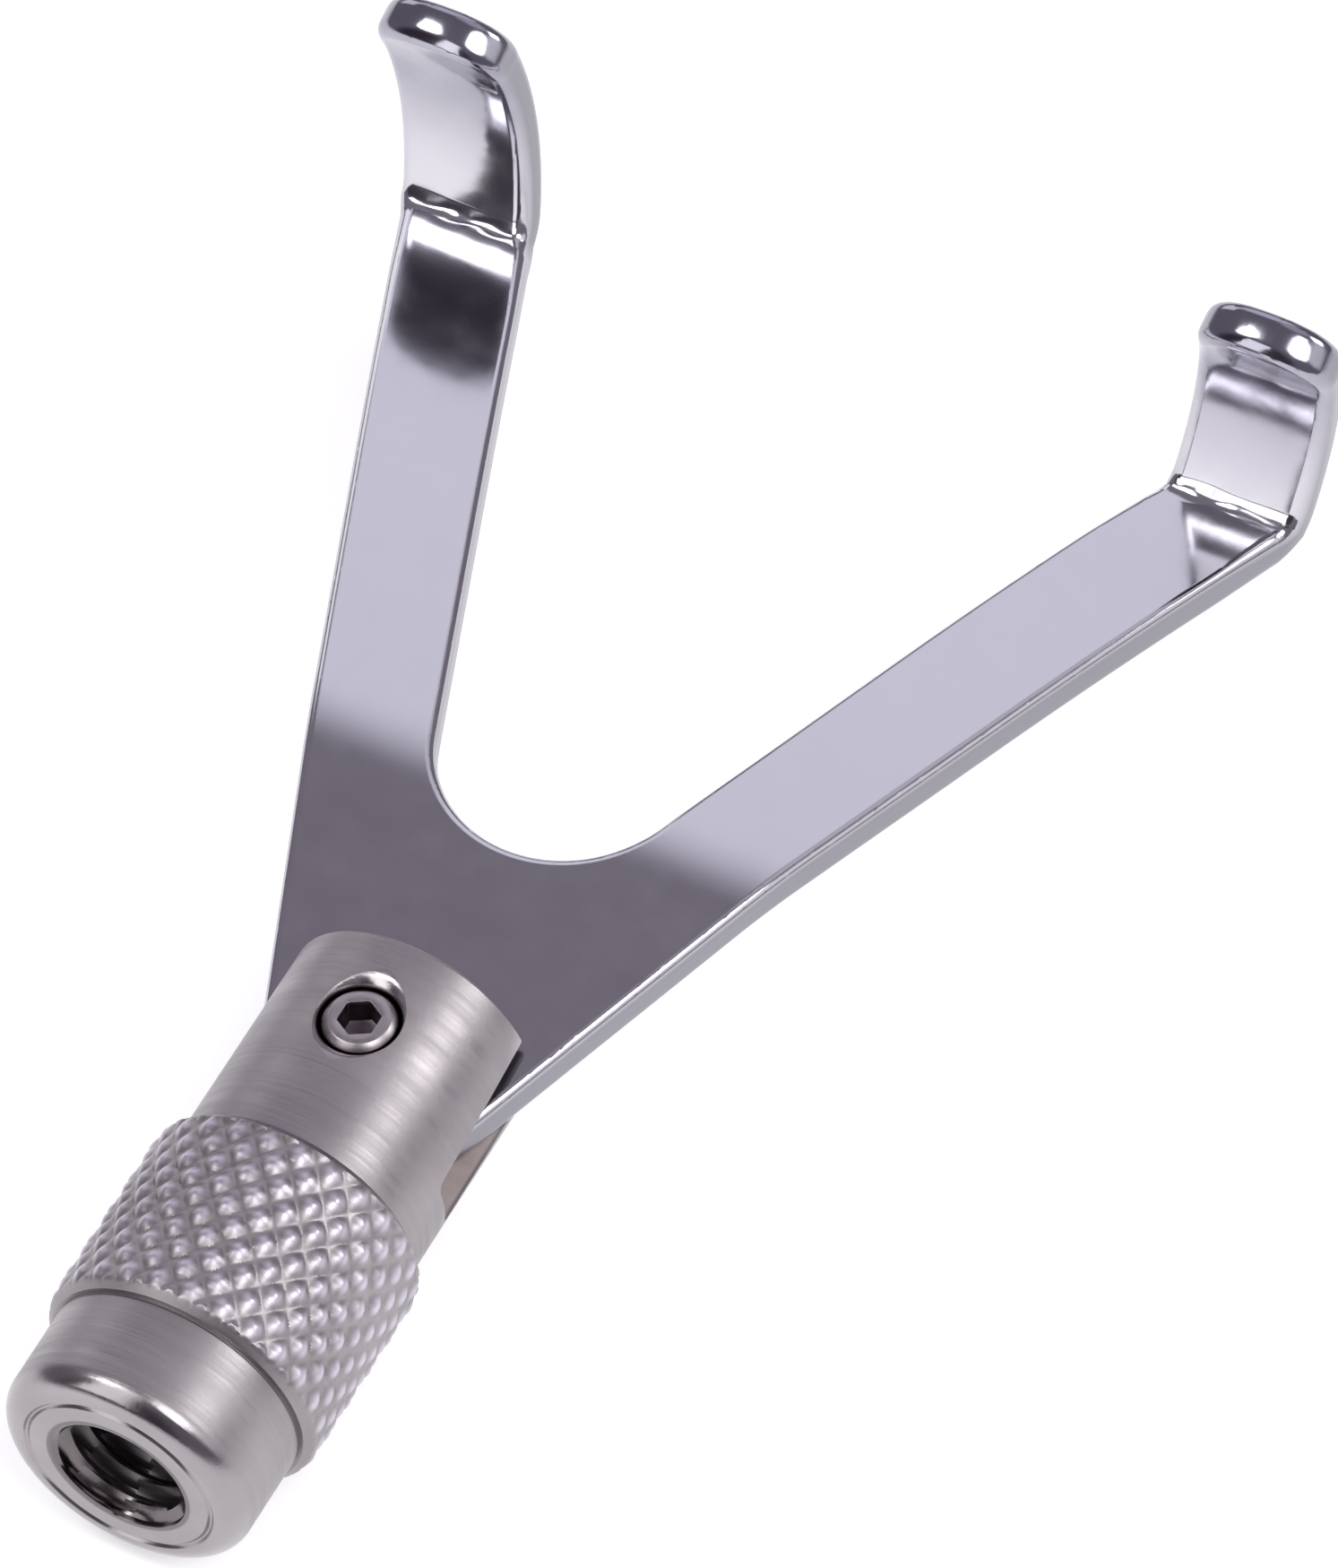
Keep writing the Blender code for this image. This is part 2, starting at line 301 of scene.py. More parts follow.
def knurl_rows():
    step = DIAMOND_LENGTH / DIAMOND_SAMPLES
    count = math.floor((KNURL_END - COLLAR_END) / step)
    places = [KNURL_END, *(COLLAR_END + i * step for i in range(count, -1, -1))]
    return [(along, knurl_row(along)) for along in places]


def collar_rows():
    """The relief beside the knurl, then the collar and its rounded rear edge."""
    bottom = COLLAR_R - RELIEF_DEPTH
    rows = [(COLLAR_END, bottom), (COLLAR_END - RELIEF, bottom), (RELIEF_END, COLLAR_R)]
    count = 8
    rows += [(RELIEF_END - i * (RELIEF_END - REAR_EDGE_R) / count, COLLAR_R) for i in range(1, count)]
    edge = arc((COLLAR_R - REAR_EDGE_R, REAR_EDGE_R), REAR_EDGE_R, 0, -math.pi / 2, math.radians(6))
    return rows + [(along, radius) for radius, along in edge]


def rear_face_rows():
    """The shallow round groove in the rear face, then the hole's mouth."""
    rows = []
    half = 4
    for i in range(-half, half + 1):
        dip = REAR_GROOVE * math.cos(i / half * math.pi / 2)
        rows.append((dip, REAR_GROOVE_R - i * REAR_GROOVE / half))
    return rows + [(0, REAR_MOUTH_R + 3 * REAR_MOUTH_EDGE), (0, REAR_MOUTH_R + REAR_MOUTH_EDGE)]


def thread_row(depth):
    """Radii of the tapped hole at a depth: a helix of V grooves that starts in the chamfered mouth."""
    phase = depth / THREAD_PITCH + np.arange(COLUMNS) / COLUMNS
    groove = np.clip((zigzag(phase) - THREAD_CREST) / THREAD_FLANKS, 0, 1)
    radii = THREAD_MINOR_R + (THREAD_MAJOR_R - THREAD_MINOR_R) * groove
    return np.clip(radii, REAR_MOUTH_R - depth, REAR_MOUTH_R + depth / 2)


def bore_rows():
    """The tapped hole, down to the cone that the drill left."""
    rows = []
    depth = REAR_MOUTH_EDGE
    while depth < THREAD_DEPTH:
        rows.append((depth, thread_row(depth)))
        depth += THREAD_PITCH / THREAD_SAMPLES
    point = THREAD_DEPTH + THREAD_MINOR_R / math.tan(DRILL_POINT / 2)
    return rows + [(THREAD_DEPTH, THREAD_MINOR_R), (point, 0)]


def grip_rows():
    """From the shoulder that the nose stands on, back over the outside and into the bore."""
    radii = (0, NOSE_R - 2 * NOSE_OVERLAP, NOSE_R + 0.02 * MM)
    shoulder = [(KNURL_END, radius) for radius in radii]
    return shoulder + knurl_rows() + collar_rows() + rear_face_rows() + bore_rows()


def nose_rows():
    back = KNURL_END - NOSE_OVERLAP
    straight = HOLDER_LENGTH - NOSE_EDGE_R
    count = 24
    rows = [(back, 0), (back, NOSE_R)]
    rows += [(KNURL_END + i * (straight - KNURL_END) / count, NOSE_R) for i in range(count)]
    edge = arc((NOSE_R - NOSE_EDGE_R, straight), NOSE_EDGE_R, 0, math.pi / 2, math.radians(15))
    rows += [(along, radius) for radius, along in edge]
    rows += [(HOLDER_LENGTH, NOSE_R * part) for part in (0.8, 0.5, 0.2, 0)]
    return rows


def slot_cutter():
    """A block with rounded edges, sloped like the plate and open past the nose's front and sides."""
    bm = bmesh.new()
    bmesh.ops.create_cube(bm, size=1)
    depth = HOLDER_LENGTH - SLOT_START
    length = depth + REACH
    bmesh.ops.scale(bm, vec=(2 * REACH, length, SLOT_BELOW + SLOT_ABOVE), verts=bm.verts)
    bmesh.ops.translate(bm, vec=(0, length / 2 - depth, (SLOT_ABOVE - SLOT_BELOW) / 2), verts=bm.verts)
    place = Matrix.Translation((0, FRONT_Y, AXIS_Z + PLATE_TOP_AT_FRONT))
    bmesh.ops.transform(bm, matrix=place @ Matrix.Rotation(RISE, 4, "X"), verts=bm.verts)
    cutter = new_object("slot_cutter", mesh_from(bm, "slot_cutter"))
    corners = cutter.modifiers.new("corners", "BEVEL")
    corners.width = SLOT_CORNER_R
    corners.segments = 5
    return applied(cutter)


def cross_hole_cutter():
    """A round plug whose upper end flares, to leave the hole's mouth rounded over."""
    top = NOSE_R + 0.25 * MM
    flare = arc((CROSS_HOLE_R + CROSS_HOLE_ROUND, NOSE_R - CROSS_HOLE_ROUND), CROSS_HOLE_ROUND,
                math.pi, math.pi / 2, math.radians(10))
    profile = [(0, 0), (CROSS_HOLE_R, 0), *flare, (CROSS_HOLE_R + 2 * CROSS_HOLE_ROUND, top), (0, top)]
    return lathe("cross_hole_cutter", profile, (0, SCREW_Y, AXIS_Z), SCREW_COLUMNS)


def radial_normals(obj, radius):
    """Shades the faces that lie on a cylinder round the holder's axis as that cylinder."""
    mesh = obj.data
    normals = [corner.vector.copy() for corner in mesh.corner_normals]
    for face in mesh.polygons:
        for i in face.loop_indices:
            spot = mesh.vertices[mesh.loops[i].vertex_index].co
            out = Vector((spot.x, 0, spot.z - AXIS_Z))
            if abs(out.length - radius) < 0.01 * MM and face.normal.dot(out.normalized()) > 0.9:
                normals[i] = out.normalized()
    mesh.normals_split_custom_set(normals)


def build_grip(finish):
    grip = revolved("holder_grip", grip_rows(), COLUMNS)
    smooth(grip, math.radians(28))
    grip.data.materials.append(finish)
    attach(grip, "holder")
    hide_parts("knurled_holder")


def build_nose(finish):
    nose = revolved("holder_nose", nose_rows(), NOSE_COLUMNS)
    cut(nose, slot_cutter())
    cut(nose, cross_hole_cutter())
    break_edges(nose, 0.05 * MM)
    smooth(nose)
    radial_normals(nose, NOSE_R)
    nose.data.materials.clear()
    nose.data.materials.append(finish)
    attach(nose, "holder")
    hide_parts("knurled_holder")


# ---- set screw --------------------------------------------------------------------------------

def screw_profile():
    """Half the screw's section as (radius, height), from its foot up to its end face."""
    length = SCREW_TOP - SCREW_FOOT
    return [
        (0, 0),
        (SCREW_R - SCREW_FOOT_CHAMFER, 0),
        (SCREW_R, SCREW_FOOT_CHAMFER),
        (SCREW_R, length - (SCREW_R - SCREW_FACE_R)),
        (SCREW_FACE_R + 0.04 * MM, length - 0.03 * MM),
        (SCREW_FACE_R - 0.02 * MM, length),
        (1.0 * MM, length),
        (0, length),
    ]


def socket_cutter():
    bm = bmesh.new()
    corner = SOCKET_ACROSS_FLATS / math.sqrt(3)
    deep = SOCKET_DEPTH + REACH
    spot = Matrix.Translation((0, SCREW_Y, SCREW_TOP - SOCKET_DEPTH + deep / 2))
    bmesh.ops.create_cone(bm, cap_ends=True, segments=6, radius1=corner, radius2=corner,
                          depth=deep, matrix=spot)
    return new_object("socket_cutter", mesh_from(bm, "socket_cutter"))


def build_screw(finish):
    screw = lathe("set_screw_body", screw_profile(), (0, SCREW_Y, SCREW_FOOT), SCREW_COLUMNS)
    cut(screw, socket_cutter())
    break_edges(screw, 0.04 * MM)
    smooth(screw)
    screw.data.materials.clear()
    screw.data.materials.append(finish)
    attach(screw, "screw")
    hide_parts("set_screw")


# ---- key --------------------------------------------------------------------------------------

def plate_path():
    """Stations down the plate's middle: length from the holder's front, y from there, height, slope."""
    length = -TANG_LENGTH
    slope = RISE
    along = Vector((math.cos(RISE), math.sin(RISE)))
    across = Vector((-along.y, along.x))
    spot = Vector((0, PLATE_TOP_AT_FRONT)) - across * PLATE / 2 - along * TANG_LENGTH
    stations = [(length, spot.x, spot.y, slope)]

    def straight(until):
        nonlocal length, spot
        start, begin = length, spot
        count = math.ceil((until - start) / (0.5 * MM))
        for i in range(1, count + 1):
            length = start + (until - start) * i / count
            spot = begin + (length - start) * Vector((math.cos(slope), math.sin(slope)))
            stations.append((length, spot.x, spot.y, slope))

    def bend(radius, turn, count):
        nonlocal length, spot, slope
        side = math.copysign(radius, turn)
        centre = spot + side * Vector((-math.sin(slope), math.cos(slope)))
        for _ in range(count):
            slope += turn / count
            length += abs(radius * turn / count)
            spot = centre - side * Vector((-math.sin(slope), math.cos(slope)))
            stations.append((length, spot.x, spot.y, slope))

    straight(FALL_AT - FALL_BEND_R * (RISE + FALL) / 2)
    bend(FALL_BEND_R, -RISE - FALL, 12)
    straight(DROOP_FROM)
    bend((CREASE_AT - DROOP_FROM) / DROOP, -DROOP, 26)
    bend(CREASE_BEND_R, CREASE_TURN, 20)
    bend(CLAW_R, CLAW_TURN, 30)
    return np.array(stations)


PATH = plate_path()
PLATE_END = PATH[-1, 0]
CORNER_AT = CREASE_AT + CREASE_BEND_R * CREASE_TURN / 2


def outer_edge(length):
    return HALF_WIDTH_AT_FRONT + length * math.tan(SPLAY)


def inner_edge(length):
    at_crotch = outer_edge(CROTCH_CENTRE) - ARM_WIDTH / math.cos(SPLAY)
    return at_crotch + (length - CROTCH_CENTRE) * math.tan(INNER_SPLAY)


def half_outline():
    """The flat plate's right half, from the middle of the tang round to the middle of the crotch."""
    claw_out = (PLATE_END - CORNER_AT) * math.tan(CLAW_SPLAY)
    crotch_r = inner_edge(CROTCH_CENTRE) * math.cos(INNER_SPLAY)
    crotch = arc((0, CROTCH_CENTRE), crotch_r, -INNER_SPLAY, -math.pi / 2, math.radians(3))
    crotch[-1] = (0, CROTCH_CENTRE - crotch_r)
    tang = (outer_edge(-TANG_LENGTH), -TANG_LENGTH)
    outer_crease = (outer_edge(CORNER_AT), CORNER_AT)
    inner_crease = (inner_edge(CORNER_AT), CORNER_AT)
    half = (outer_crease[0] - inner_crease[0]) / 2
    middle = inner_crease[0] + half + claw_out
    tip = []
    for a in np.radians(np.linspace(0, 180, 37)):
        width = math.copysign(abs(math.cos(a)) ** (2 / TIP_SQUARENESS), math.cos(a))
        length = math.sin(a) ** (2 / TIP_SQUARENESS)
        tip.append((middle + half * width, PLATE_END - TIP_LENGTH * (1 - length)))
    return [
        (0, -TANG_LENGTH),
        *rounded_corner((0, -TANG_LENGTH), tang, outer_crease, TANG_CORNER_R),
        outer_crease,
        *tip,
        inner_crease,
        *crotch,
    ]


def edge_round(length):
    """How far the plate's edges are rounded at a length along it: crisp arms, smooth claws."""
    tip_start = PLATE_END - TIP_LENGTH
    stops = [CREASE_AT - 3 * MM, CORNER_AT, tip_start, PLATE_END]
    return np.interp(length, stops, [ARM_EDGE_ROUND, CLAW_EDGE_ROUND, TIP_EDGE_ROUND, TIP_EDGE_ROUND])


def whole_outline(step=0.8 * MM):
    """The flat plate's outline, both arms, as an array of (width, length) with no long gaps."""
    right = half_outline()
    left = [(-u, s) for u, s in reversed(right[1:-1])]
    corners = np.array(right + left)
    points = []
    for one, two in zip(corners, np.roll(corners, -1, axis=0)):
        count = max(1, math.ceil(np.hypot(*(two - one)) / step))
        points += [one + (two - one) * i / count for i in range(count)]
    return np.array(points)


def inward(points):
    """For each point of an outline drawn anticlockwise, the mitred way in."""
    ahead = np.roll(points, -1, axis=0) - points
    ahead /= np.linalg.norm(ahead, axis=1)[:, None]
    behind = np.roll(ahead, 1, axis=0)
    both = ahead + behind
    both /= np.linalg.norm(both, axis=1)[:, None]
    way = np.column_stack([-both[:, 1], both[:, 0]])
    spread = np.sum(both * ahead, axis=1)
    return way / spread[:, None]


def flat_key():
    """The plate before it is bent, as (width, length, height), its edges rounded ring by ring."""
    outline = whole_outline()
    way = inward(outline)
    radius = edge_round(outline[:, 1])
    at_tip = eased((outline[:, 1] - (PLATE_END - TIP_LENGTH)) / TIP_LENGTH)
    flank = PLATE / 2 - radius
    upper = [(at_tip * (flank * part) ** 2 / (2 * TIP_DOME_R), flank * part) for part in (1 / 3, 1)]
    flank_dome = at_tip * flank ** 2 / (2 * TIP_DOME_R)
    for a in np.radians(np.linspace(15, 90, 6)):
        upper.append((flank_dome + radius * (1 - math.cos(a)), flank + radius * math.sin(a)))
    flat_rim = 0.03 * MM
    upper.append((flank_dome + radius + flat_rim, np.full(len(radius), PLATE / 2)))
    levels = [(inset, -height) for inset, height in reversed(upper)] + upper
    bm = bmesh.new()
    rings = []
    for inset, height in levels:
        flat = outline + way * inset[:, None]
        rings.append([bm.verts.new((*spot, h)) for spot, h in zip(flat, height)])
    skin(bm, rings, len(outline))
    bm.faces.new(rings[-1])
    bm.faces.new(list(reversed(rings[0])))
    return bm


def hand_finish(width, length):
    """Height added to the plate's upper face: the claws' lips and the unevenness of the creases."""
    lip = LIP * eased((length - (PLATE_END - LIP_FROM_END)) / LIP_EASE)
    near_crease = math.exp(-((length - CORNER_AT) / CREASE_SPREAD) ** 2)
    waves = noise.noise(Vector((width, length * CREASE_STRETCH, 0)) / CREASE_SPREAD)
    return lip + CREASE_WAVES * near_crease * waves


def score(bm, place, normal):
    """Cuts the faces along a plane and keeps both sides."""
    everything = bm.verts[:] + bm.edges[:] + bm.faces[:]
    bmesh.ops.bisect_plane(bm, geom=everything, plane_co=place, plane_no=normal, dist=1e-7)


def build_key(finish):
    """The slab is cut across in both directions, then folded. "wall" marks its sawn side walls."""
    bm = flat_key()
    wall = bm.verts.layers.float.new("wall")
    for station in PATH[1:-1, 0]:
        score(bm, (0, station, 0), (0, 1, 0))
    across = 0.4 * MM
    count = math.floor(max(vert.co.x for vert in bm.verts) / across)
    for i in range(-count, count + 1):
        score(bm, (i * across, 0, 0), (1, 0, 0))
    for vert in bm.verts:
        width, length, height = vert.co
        at_tip = eased((length - (PLATE_END - TIP_LENGTH)) / TIP_LENGTH)
        vert[wall] = (1 - at_tip) * min(1, (PLATE / 2 - abs(height)) / edge_round(length))
        height += max(0, height) / (PLATE / 2) * hand_finish(width, length)
        slope = np.interp(length, PATH[:, 0], PATH[:, 3])
        vert.co.y = FRONT_Y + np.interp(length, PATH[:, 0], PATH[:, 1]) - height * math.sin(slope)
        vert.co.z = AXIS_Z + np.interp(length, PATH[:, 0], PATH[:, 2]) + height * math.cos(slope)
    bmesh.ops.remove_doubles(bm, verts=bm.verts, dist=0.0005 * MM)
    key = new_object("forked_key_plate", mesh_from(bm, "forked_key_plate"))
    smooth(key, math.radians(40))
    key.data.materials.append(finish)
    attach(key, "key")
    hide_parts("forked_key")


# ---- node helpers -----------------------------------------------------------------------------

class Nodes:
    """Short ways to lay out a node tree."""

    def __init__(self, tree, coordinates):
        self.tree = tree
        self.place = self.add("ShaderNodeTexCoord").outputs[coordinates]

    def add(self, kind, **inputs):
        """A new node. Its inputs are named with _ for each space."""
        node = self.tree.nodes.new(kind)
        for name, value in inputs.items():
            self.put(node.inputs[name.replace("_", " ")], value)
        return node

    def put(self, socket, value):
        """Links another node's output to a socket, or sets the socket to a plain value."""
        if isinstance(value, bpy.types.NodeSocket):
            self.tree.links.new(value, socket)
        else:
            socket.default_value = value

    def vector(self, operation, one, two=(0, 0, 0)):
        """The outputs of one step of vector arithmetic."""
        node = self.tree.nodes.new("ShaderNodeVectorMath")
        node.operation = operation
        self.put(node.inputs[0], one)
        self.put(node.inputs[1], two)
        return node.outputs

    def along(self, axis):
        """The place along one axis, X, Y or Z."""
        return self.add("ShaderNodeSeparateXYZ", Vector=self.place).outputs[axis]

    def away_from(self, centre, counted=(1, 1, 1)):
        """Distance from a point, or from the line through it along the one axis that isn't counted."""
        offset = self.vector("SUBTRACT", self.place, centre)["Vector"]
        return self.vector("LENGTH", self.vector("MULTIPLY", offset, counted)["Vector"])["Value"]

    def above(self, value, low, high):
        """0 below low, 1 above high, and a soft step between."""
        node = self.add("ShaderNodeMapRange", Value=value, From_Min=low, From_Max=high)
        node.interpolation_type = "SMOOTHSTEP"
        return node.outputs[0]

    def below(self, value, low, high):
        """1 below low, 0 above high, and a soft step between."""
        return self.blend(self.above(value, low, high), 1.0, 0.0)

    def noise(self, scale, detail=4, stretch=(1, 1, 1)):
        mapping = self.add("ShaderNodeMapping", Vector=self.place, Scale=stretch)
        texture = self.add("ShaderNodeTexNoise", Vector=mapping.outputs[0], Scale=scale, Detail=detail)
        return texture.outputs["Fac"]

    def span(self, value, low, high):
        """Spreads a noise value, which is usually 0.3 to 0.7, between low and high."""
        usual = {"From_Min": 0.3, "From_Max": 0.7}
        return self.add("ShaderNodeMapRange", Value=value, To_Min=low, To_Max=high, **usual).outputs[0]

    def blend(self, factor, one, two):
        """A plain number between one and two."""
        node = self.tree.nodes.new("ShaderNodeMix")
        self.put(node.inputs["Factor"], factor)
        self.put(node.inputs["A"], one)
        self.put(node.inputs["B"], two)
        return node.outputs["Result"]

    def mix(self, factor, one, two):
        """A colour between one and two."""
        node = self.tree.nodes.new("ShaderNodeMix")
        node.data_type = "RGBA"
        self.put(node.inputs["Factor"], factor)
        self.put(node.inputs["A"], (*one, 1) if isinstance(one, tuple) else one)
        self.put(node.inputs["B"], (*two, 1) if isinstance(two, tuple) else two)
        return node.outputs["Result"]

    def highest(self, *values):
        found = values[0]
        for value in values[1:]:
            node = self.tree.nodes.new("ShaderNodeMath")
            node.operation = "MAXIMUM"
            self.put(node.inputs[0], found)
            self.put(node.inputs[1], value)
            found = node.outputs[0]
        return found


class Finish(Nodes):
    """One material's nodes, placed by the object's own coordinates."""

    def __init__(self, name):
        self.material = bpy.data.materials.new(name)
        self.material.use_nodes = True
        super().__init__(self.material.node_tree, "Object")

    def bump(self, height, strength, distance, under=None):
        node = self.add("ShaderNodeBump", Height=height, Strength=strength, Distance=distance)
        if under is not None:
            self.put(node.inputs["Normal"], under)
        return node.outputs[0]

    def tangent_round(self, axis):
        """The direction that turning marks run in, round an axis."""
        node = self.add("ShaderNodeTangent")
        node.direction_type = "RADIAL"
        node.axis = axis
        return node.outputs[0]

    def look(self, **inputs):
        """Sets the shader's inputs, named with _ for each space, and gives the material."""
        shader = self.tree.nodes["Principled BSDF"]
        for name, value in inputs.items():
            self.put(shader.inputs[name.replace("_", " ")], value)
        return self.material


# ---- materials --------------------------------------------------------------------------------

def turned_steel():
    """Satin and blotchy, bright on the knurl's tops, rubbed at edges, stained in the slot; painted shade
    darkens the slot over the key, the gap beside the screw and the bore.
    """
    n = Finish("turned_steel")
    radius = n.away_from((0, 0, AXIS_Z), (1, 0, 1))
    from_screw = n.away_from((0, SCREW_Y, 0), (1, 1, 0))
    along = n.along("Y")
    hole_edge = CROSS_HOLE_R + CROSS_HOLE_ROUND

    on_tops = n.above(radius, KNURL_R - 0.7 * KNURL_DEPTH, KNURL_R - 0.1 * KNURL_DEPTH)
    round_hole = n.below(from_screw, hole_edge, hole_edge + 0.1 * MM)
    under_nose = n.below(radius, NOSE_R - 0.08 * MM, NOSE_R - 0.01 * MM)
    hole_rim = n.blend(round_hole, 0.0, under_nose)
    rear_edge = n.below(along, REAR_Y + REAR_EDGE_R / 2, REAR_Y + REAR_EDGE_R)
    outside = n.above(radius, NOSE_R - 0.2 * MM, NOSE_R - 0.05 * MM)
    behind_slot = n.below(along, REAR_Y + KNURL_END, REAR_Y + SLOT_START)
    on_front = n.above(along, FRONT_Y - 0.1 * MM, FRONT_Y - 0.02 * MM)
    free_of_stain_and_shade = n.highest(outside, behind_slot, on_front, round_hole)
    painted_shade_over_key = n.above(n.along("Z"), AXIS_Z, AXIS_Z + PLATE_TOP_AT_FRONT)
    beside_screw = n.below(from_screw, CROSS_HOLE_R + 0.02 * MM, CROSS_HOLE_R + 0.2 * MM)
    round_bore = n.above(radius, THREAD_MAJOR_R, THREAD_MAJOR_R + 0.1 * MM)
    ahead_of_bore = n.above(along, REAR_Y + THREAD_DEPTH, REAR_Y + KNURL_END)

    blotch = n.noise(260, 6)
    colour = n.mix(blotch, (0.24, 0.224, 0.233), (0.40, 0.376, 0.388))
    colour = n.mix(on_tops, colour, n.mix(blotch, (0.49, 0.46, 0.52), (0.64, 0.61, 0.68)))
    colour = n.mix(hole_rim, colour, (0.55, 0.52, 0.53))
    slot_stain_and_shade = n.mix(n.noise(900, 4), (0.34, 0.26, 0.235), (0.60, 0.55, 0.53))
    # Painted shade: the slot's faces above the key are darkened nearly to black.
    slot_stain_and_shade = n.mix(painted_shade_over_key, slot_stain_and_shade, (0.07, 0.065, 0.075))
    colour = n.mix(free_of_stain_and_shade, slot_stain_and_shade, colour)
    # Painted shade: the cross hole's wall beside the screw is darkened nearly to black.
    colour = n.mix(beside_screw, colour, (0.11, 0.095, 0.10))
    # Painted shade: the tapped bore is darkened all the way down.
    colour = n.mix(n.highest(round_bore, ahead_of_bore), (0.16, 0.145, 0.15), colour)

    turning = n.noise(700, 5, (0.2, 5, 0.2))
    rough = n.blend(n.highest(hole_rim, rear_edge), n.span(turning, 0.34, 0.46), 0.20)
    lines = n.bump(turning, 0.5, 0.00003)
    return n.look(
        Base_Color=colour,
        Metallic=n.blend(free_of_stain_and_shade, 0.35, 1.0),
        Roughness=n.blend(free_of_stain_and_shade, 0.6, rough),
        Normal=n.bump(n.noise(4000, 4), 0.5, 0.00001, lines),
        Anisotropic=0.35,
        Tangent=n.tangent_round("Y"),
    )


def chrome():
    """Bright, its side walls duller, and the claws darkened toward their ends, a painted shade that dims
    their reflections.
    """
    n = Finish("polished_chrome")
    wall = n.add("ShaderNodeAttribute")
    wall.attribute_name = "wall"
    wall = wall.outputs["Fac"]
    painted_shade_up_claws = n.above(n.along("Z"), AXIS_Z + 1.5 * MM, AXIS_Z + 8 * MM)
    on_claw = n.above(n.along("Y"), FRONT_Y + CREASE_AT - 2 * MM, FRONT_Y + CREASE_AT + 2 * MM)
    face = n.mix(n.noise(90, 3), (0.59, 0.58, 0.62), (0.63, 0.62, 0.66))
    # Painted shade: higher up the claws the chrome is darkened, dimming what they reflect.
    face = n.mix(painted_shade_up_claws, face, n.mix(n.noise(450, 3), (0.29, 0.28, 0.34), (0.48, 0.47, 0.53)))
    waves = n.bump(n.noise(110, 2), n.blend(on_claw, 0.04, 0.30), 0.0002)
    dents = n.bump(n.noise(420, 2), n.blend(on_claw, 0.0, 0.35), 0.00006, waves)
    return n.look(
        Base_Color=n.mix(wall, face, (0.26, 0.255, 0.28)),
        Metallic=1.0,
        Roughness=n.blend(wall, n.span(n.noise(700, 4), 0.10, 0.15), 0.24),
        Normal=n.bump(n.noise(2500, 2, (1, 0.05, 1)), 0.08, 0.00001, dents),
    )


def screw_steel():
    """Worn bright on its end ring, with painted shade in the socket and down the thread."""
    n = Finish("screw_steel")
    on_top = n.above(n.along("Z"), SCREW_TOP - 0.25 * MM, SCREW_TOP - 0.05 * MM)
    worn = n.mix(n.noise(800, 4), (0.27, 0.245, 0.255), (0.46, 0.43, 0.44))
    return n.look(
        # Painted shade: all below the end ring is darkened, the socket and the thread.
        Base_Color=n.mix(on_top, (0.15, 0.125, 0.14), worn),
        Metallic=1.0,
        Roughness=n.span(n.noise(2000, 3), 0.26, 0.42),
        Normal=n.bump(n.noise(5000, 3), 0.15, 0.00001),
    )


def floor_paper():
    """White round the object and glowing softly, so that shadows stay faint, and dimmer far off."""
    n = Finish("pale_floor")
    far = n.above(n.away_from((0, 0, 0)), 0.12, 0.40)
    paper = n.mix(n.noise(30, 3), (0.86, 0.86, 0.87), (0.88, 0.88, 0.88))
    return n.look(
        Base_Color=n.mix(far, paper, (0.56, 0.55, 0.57)),
        Roughness=n.span(n.noise(400, 3), 0.7, 0.85),
        Normal=n.bump(n.noise(900, 3), 0.05, 0.0001),
        Emission_Color=n.mix(far, (1.0, 1.0, 1.0), (0.30, 0.29, 0.31)),
        Emission_Strength=0.4,
    )


# ---- stage ------------------------------------------------------------------------------------

def build_floor():
    bm = bmesh.new()
    half_width = 4
    gap = 0.1 * MM
    bmesh.ops.create_grid(bm, x_segments=1, y_segments=1, size=half_width)
    bmesh.ops.translate(bm, vec=(0, 0, CAD_BOUNDS[0].z - gap), verts=bm.verts)
    floor = new_object("floor", mesh_from(bm, "floor"))
    floor.data.materials.append(floor_paper())


def build_world():
    """A dim room, dark on the side the object is seen from, with three soft bright patches."""
    world = bpy.data.worlds.new("studio")
    bpy.context.scene.world = world
    world.use_nodes = True
    n = Nodes(world.node_tree, "Generated")
    room = (0.235, 0.21, 0.255)
    # Each patch is full within the first angle of its direction and gone beyond the second.
    near_side = ((-0.31, -0.90, 0.30), 28, 48, (0.06, 0.048, 0.065))
    wall_beyond = ((-0.31, 0.74, 0.60), 14, 26, (0.89, 0.88, 1.0))
    ceiling = ((0.17, 0.50, 0.85), 8, 24, (0.66, 0.62, 0.69))
    right_side = ((0.88, 0.08, 0.47), 8, 24, (1.1, 1.08, 1.15))
    for direction, inner, outer, colour in (near_side, wall_beyond, ceiling, right_side):
        toward = n.vector("DOT_PRODUCT", n.place, Vector(direction).normalized())["Value"]
        patch = n.above(toward, math.cos(math.radians(outer)), math.cos(math.radians(inner)))
        room = n.mix(patch, room, colour)
    n.put(n.tree.nodes["Background"].inputs["Color"], room)


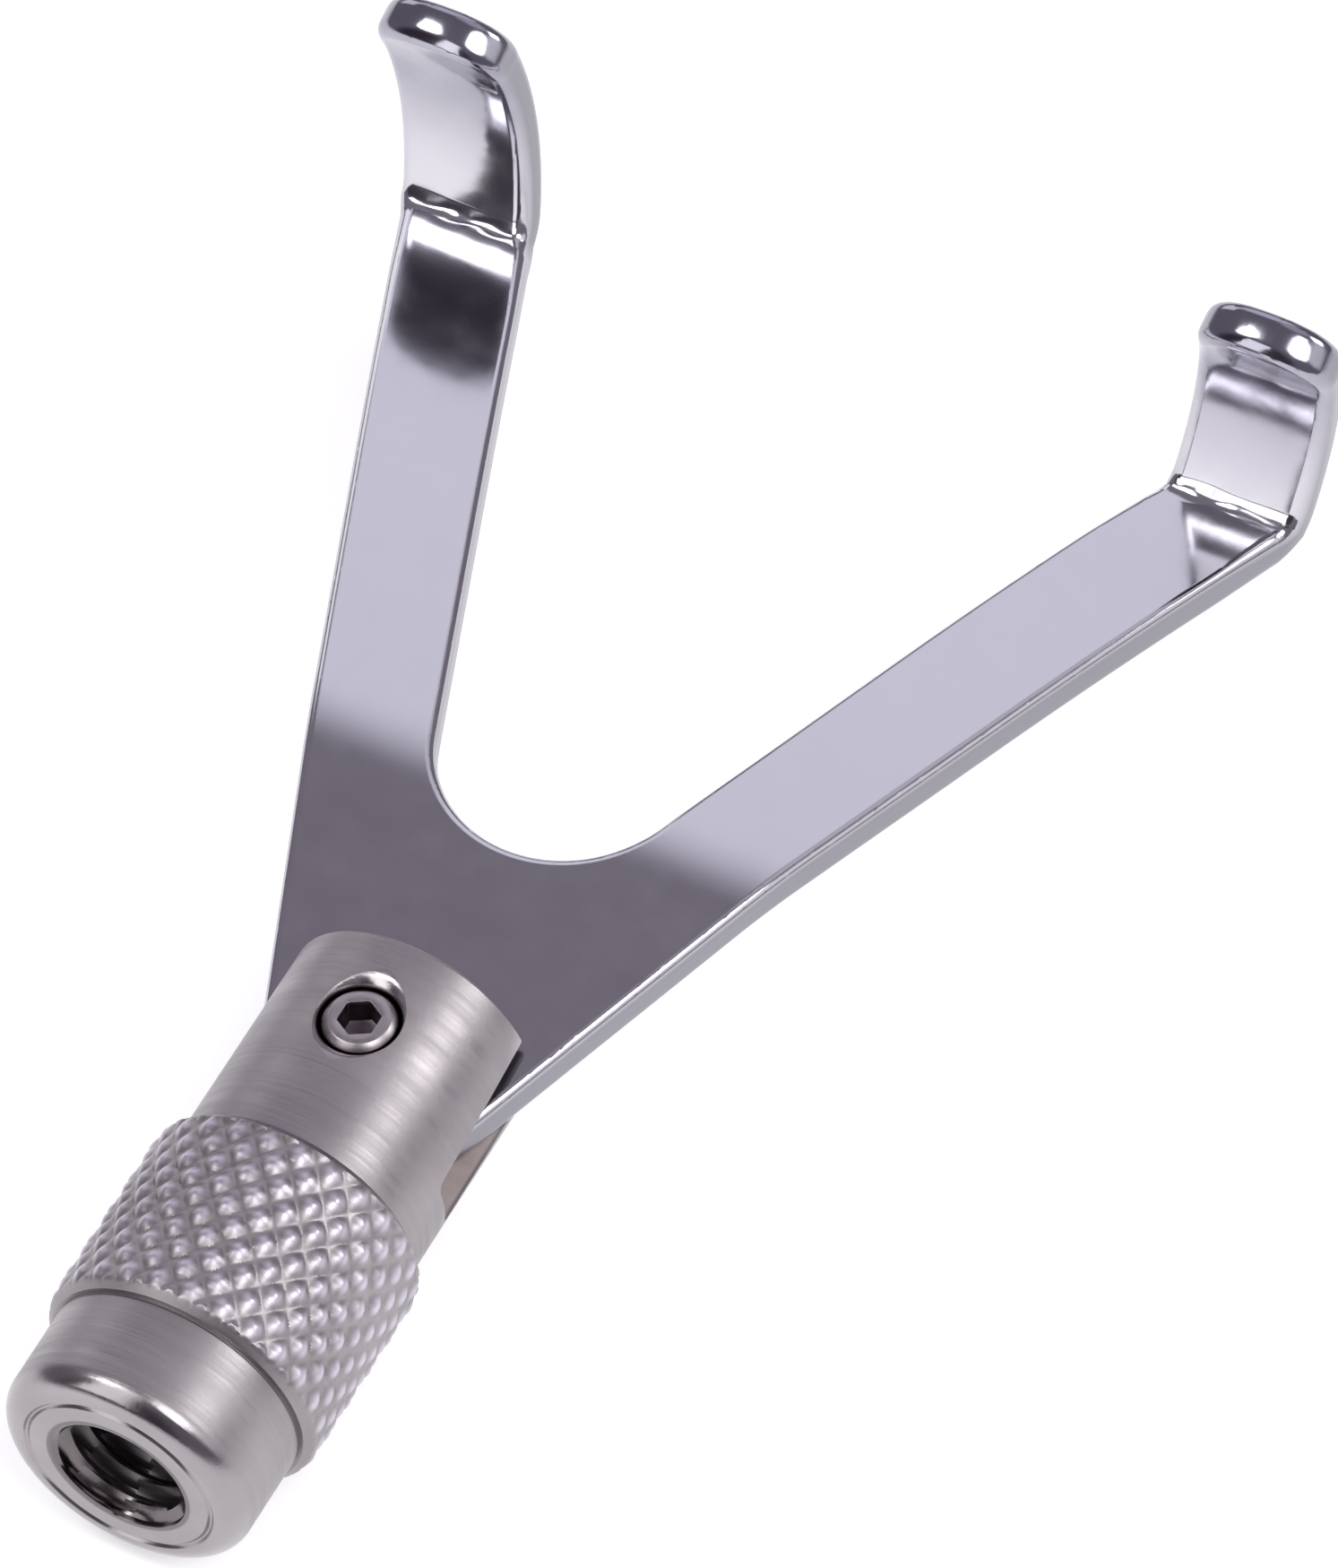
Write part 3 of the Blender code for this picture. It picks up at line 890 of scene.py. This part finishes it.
def soft_light(name, direction, long_way, size, value, shape="RECTANGLE", aim=(0, 0, 0), distance=1.0):
    """An area light that faces a place on the object. value is how bright it is to look at.

    size is its width and its length, and the length runs along long_way.
    """
    light = bpy.data.lights.new(name, "AREA")
    light.shape = shape
    light.size, light.size_y = size
    area = size[0] * size[1] * (math.pi / 4 if shape == "ELLIPSE" else 1)
    light.energy = value * math.pi * area
    lamp = bpy.data.objects.new(name, light)
    bpy.context.scene.collection.objects.link(lamp)
    back = Vector(direction).normalized()
    across = Vector(long_way).cross(back).normalized()
    turn = Matrix((across, back.cross(across), back)).transposed()
    lamp.matrix_world = Matrix.Translation(Vector(aim) + distance * back) @ turn.to_4x4()
    lamp.visible_camera = False


def build_lights():
    upright, sideways, lengthways = (0, 0, 1), (1, 0, 0), (0, 1, 0)
    soft_light("key", (0.65, 0.52, 0.56), upright, (0.34, 0.34), 6)
    soft_light("left_wall", (-0.78, 0.50, 0.36), upright, (0.40, 0.45), 1.0)
    soft_light("strip", (-0.45, -0.24, 0.86), sideways, (0.27, 0.40), 6, "ELLIPSE")
    soft_light("dish", (0.53, -0.17, 0.83), lengthways, (0.60, 0.60), 4.5, "ELLIPSE")
    right_claw = (15 * MM, FRONT_Y + 31 * MM, AXIS_Z)
    soft_light("near_card", (-0.31, -0.76, 0.52), upright, (0.044, 0.11), 1.8,
               aim=right_claw, distance=0.12)


# ---- camera -----------------------------------------------------------------------------------

def build_camera():
    azimuth = math.radians(31.03)
    elevation = math.radians(52.93)
    roll = math.radians(-4.35)
    distance = 0.525
    target = Vector((8.28 * MM, REAR_Y + 36.94 * MM, AXIS_Z))
    back = Vector((
        math.sin(azimuth) * math.cos(elevation),
        -math.cos(azimuth) * math.cos(elevation),
        math.sin(elevation),
    ))
    level = (-back).cross(Vector((0, 0, 1))).normalized()
    upright = level.cross(-back)
    right = math.cos(roll) * level + math.sin(roll) * upright
    up = -math.sin(roll) * level + math.cos(roll) * upright
    data = bpy.data.cameras.new("camera")
    data.sensor_width = 36
    data.lens = 311.3
    data.shift_x = -0.0635
    data.shift_y = 0.0372
    data.clip_start = 0.01
    data.clip_end = 20
    camera = bpy.data.objects.new("camera", data)
    bpy.context.scene.collection.objects.link(camera)
    turn = Matrix((right, up, back)).transposed()
    camera.matrix_world = Matrix.Translation(target + back * distance) @ turn.to_4x4()
    bpy.context.scene.camera = camera
    bpy.context.scene.view_settings.view_transform = "Standard"


steel = turned_steel()
build_grip(steel)
build_nose(steel)
build_key(chrome())
build_screw(screw_steel())
build_floor()
build_world()
build_lights()
build_camera()
